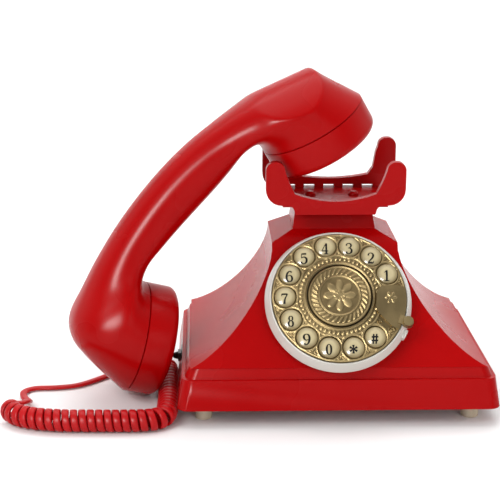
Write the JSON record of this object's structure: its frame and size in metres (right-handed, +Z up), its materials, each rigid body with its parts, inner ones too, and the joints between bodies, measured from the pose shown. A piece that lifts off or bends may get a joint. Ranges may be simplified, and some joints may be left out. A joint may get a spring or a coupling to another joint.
{
  "type": "desk telephone",
  "caption": "Desk telephone with a swept pyramid base, raised handset cradle, round push-key dial made to look like a rotary one, and a leaning corded handset.",
  "frame": {"origin": "on the surface it stands on, under the middle of the base and handset taken together", "axes": "+Z up, +X to the right and +Y to the back as seen by a person facing the dial"},
  "size_m": [0.2881, 0.1497, 0.1941],
  "materials": {
    "red_plastic": "glossy moulded plastic",
    "dark_red_plastic": "matt moulded plastic",
    "foot_rubber": "soft beige rubber",
    "steel": "plated steel",
    "iron": "plain iron",
    "board": "green circuit board",
    "brass": "brass",
    "black_plastic": "matt black plastic",
    "white_plastic": "satin off-white plastic",
    "gold": "embossed antique gold plating",
    "grey_rubber": "silicone rubber",
    "capsule": "dark capsule",
    "cream_plastic": "domed cream plastic",
    "red_cord": "soft glossy cord jacket"
  },
  "bodies": {
    "root": {"upper_housing": "red_plastic", "plinth": "red_plastic", "base_plate": "dark_red_plastic", "rubber_feet": "foot_rubber", "base_screws": "steel", "ballast_plate": "iron", "main_board": "board", "ringer": "brass", "cord_socket": "black_plastic", "line_socket": "black_plastic", "cradle": "red_plastic", "hook_spring": "steel", "hook_switch": "black_plastic", "dial_bezel": "white_plastic", "dial_plate": "gold", "medallion": "gold", "finger_stop": "gold", "keypad_mat": "grey_rubber", "keypad_board": "board", "dial_frame": "black_plastic", "dial_screws": "steel", "curly_cord": "red_cord", "base_lead": "red_cord", "base_plug": "black_plastic", "handset_lead": "red_cord"},
    "hook": {"hook_prongs": "red_plastic"},
    "handset": {"handset_shell": "red_plastic", "ear_cap": "red_plastic", "mouth_cap": "red_plastic", "receiver": "capsule", "receiver_clamp": "black_plastic", "microphone": "capsule", "microphone_holder": "black_plastic", "handset_weight": "steel", "handset_socket": "black_plastic", "handset_plug": "black_plastic"},
    "key_1_body": {"key_1": "cream_plastic"},
    "key_2_body": {"key_2": "cream_plastic"},
    "key_3_body": {"key_3": "cream_plastic"},
    "key_4_body": {"key_4": "cream_plastic"},
    "key_5_body": {"key_5": "cream_plastic"},
    "key_6_body": {"key_6": "cream_plastic"},
    "key_7_body": {"key_7": "cream_plastic"},
    "key_8_body": {"key_8": "cream_plastic"},
    "key_9_body": {"key_9": "cream_plastic"},
    "key_0_body": {"key_0": "cream_plastic"},
    "key_star_body": {"key_star": "cream_plastic"},
    "key_hash_body": {"key_hash": "cream_plastic"}
  },
  "joints": [
    {"name": "handset_lift", "type": "slide", "parent": "root", "child": "handset", "axis": [0, 0, 1], "range_m": [0, 0.1], "deforming": ["handset_lead"]},
    {"name": "hook_press", "type": "slide", "parent": "root", "child": "hook", "axis": [0, 0, -1], "range_m": [0, 0.0022], "stiffness_N_per_m": 150, "deforming": ["hook_spring"]},
    {"name": "key_1_press", "type": "slide", "parent": "root", "child": "key_1_body", "axis": [0, 0.809, -0.5878], "range_m": [0, 0.0015], "stiffness_N_per_m": 250},
    {"name": "key_2_press", "type": "slide", "parent": "root", "child": "key_2_body", "axis": [0, 0.809, -0.5878], "range_m": [0, 0.0015], "stiffness_N_per_m": 250},
    {"name": "key_3_press", "type": "slide", "parent": "root", "child": "key_3_body", "axis": [0, 0.809, -0.5878], "range_m": [0, 0.0015], "stiffness_N_per_m": 250},
    {"name": "key_4_press", "type": "slide", "parent": "root", "child": "key_4_body", "axis": [0, 0.809, -0.5878], "range_m": [0, 0.0015], "stiffness_N_per_m": 250},
    {"name": "key_5_press", "type": "slide", "parent": "root", "child": "key_5_body", "axis": [0, 0.809, -0.5878], "range_m": [0, 0.0015], "stiffness_N_per_m": 250},
    {"name": "key_6_press", "type": "slide", "parent": "root", "child": "key_6_body", "axis": [0, 0.809, -0.5878], "range_m": [0, 0.0015], "stiffness_N_per_m": 250},
    {"name": "key_7_press", "type": "slide", "parent": "root", "child": "key_7_body", "axis": [0, 0.809, -0.5878], "range_m": [0, 0.0015], "stiffness_N_per_m": 250},
    {"name": "key_8_press", "type": "slide", "parent": "root", "child": "key_8_body", "axis": [0, 0.809, -0.5878], "range_m": [0, 0.0015], "stiffness_N_per_m": 250},
    {"name": "key_9_press", "type": "slide", "parent": "root", "child": "key_9_body", "axis": [0, 0.809, -0.5878], "range_m": [0, 0.0015], "stiffness_N_per_m": 250},
    {"name": "key_0_press", "type": "slide", "parent": "root", "child": "key_0_body", "axis": [0, 0.809, -0.5878], "range_m": [0, 0.0015], "stiffness_N_per_m": 250},
    {"name": "key_star_press", "type": "slide", "parent": "root", "child": "key_star_body", "axis": [0, 0.809, -0.5878], "range_m": [0, 0.0015], "stiffness_N_per_m": 250},
    {"name": "key_hash_press", "type": "slide", "parent": "root", "child": "key_hash_body", "axis": [0, 0.809, -0.5878], "range_m": [0, 0.0015], "stiffness_N_per_m": 250}
  ]
}
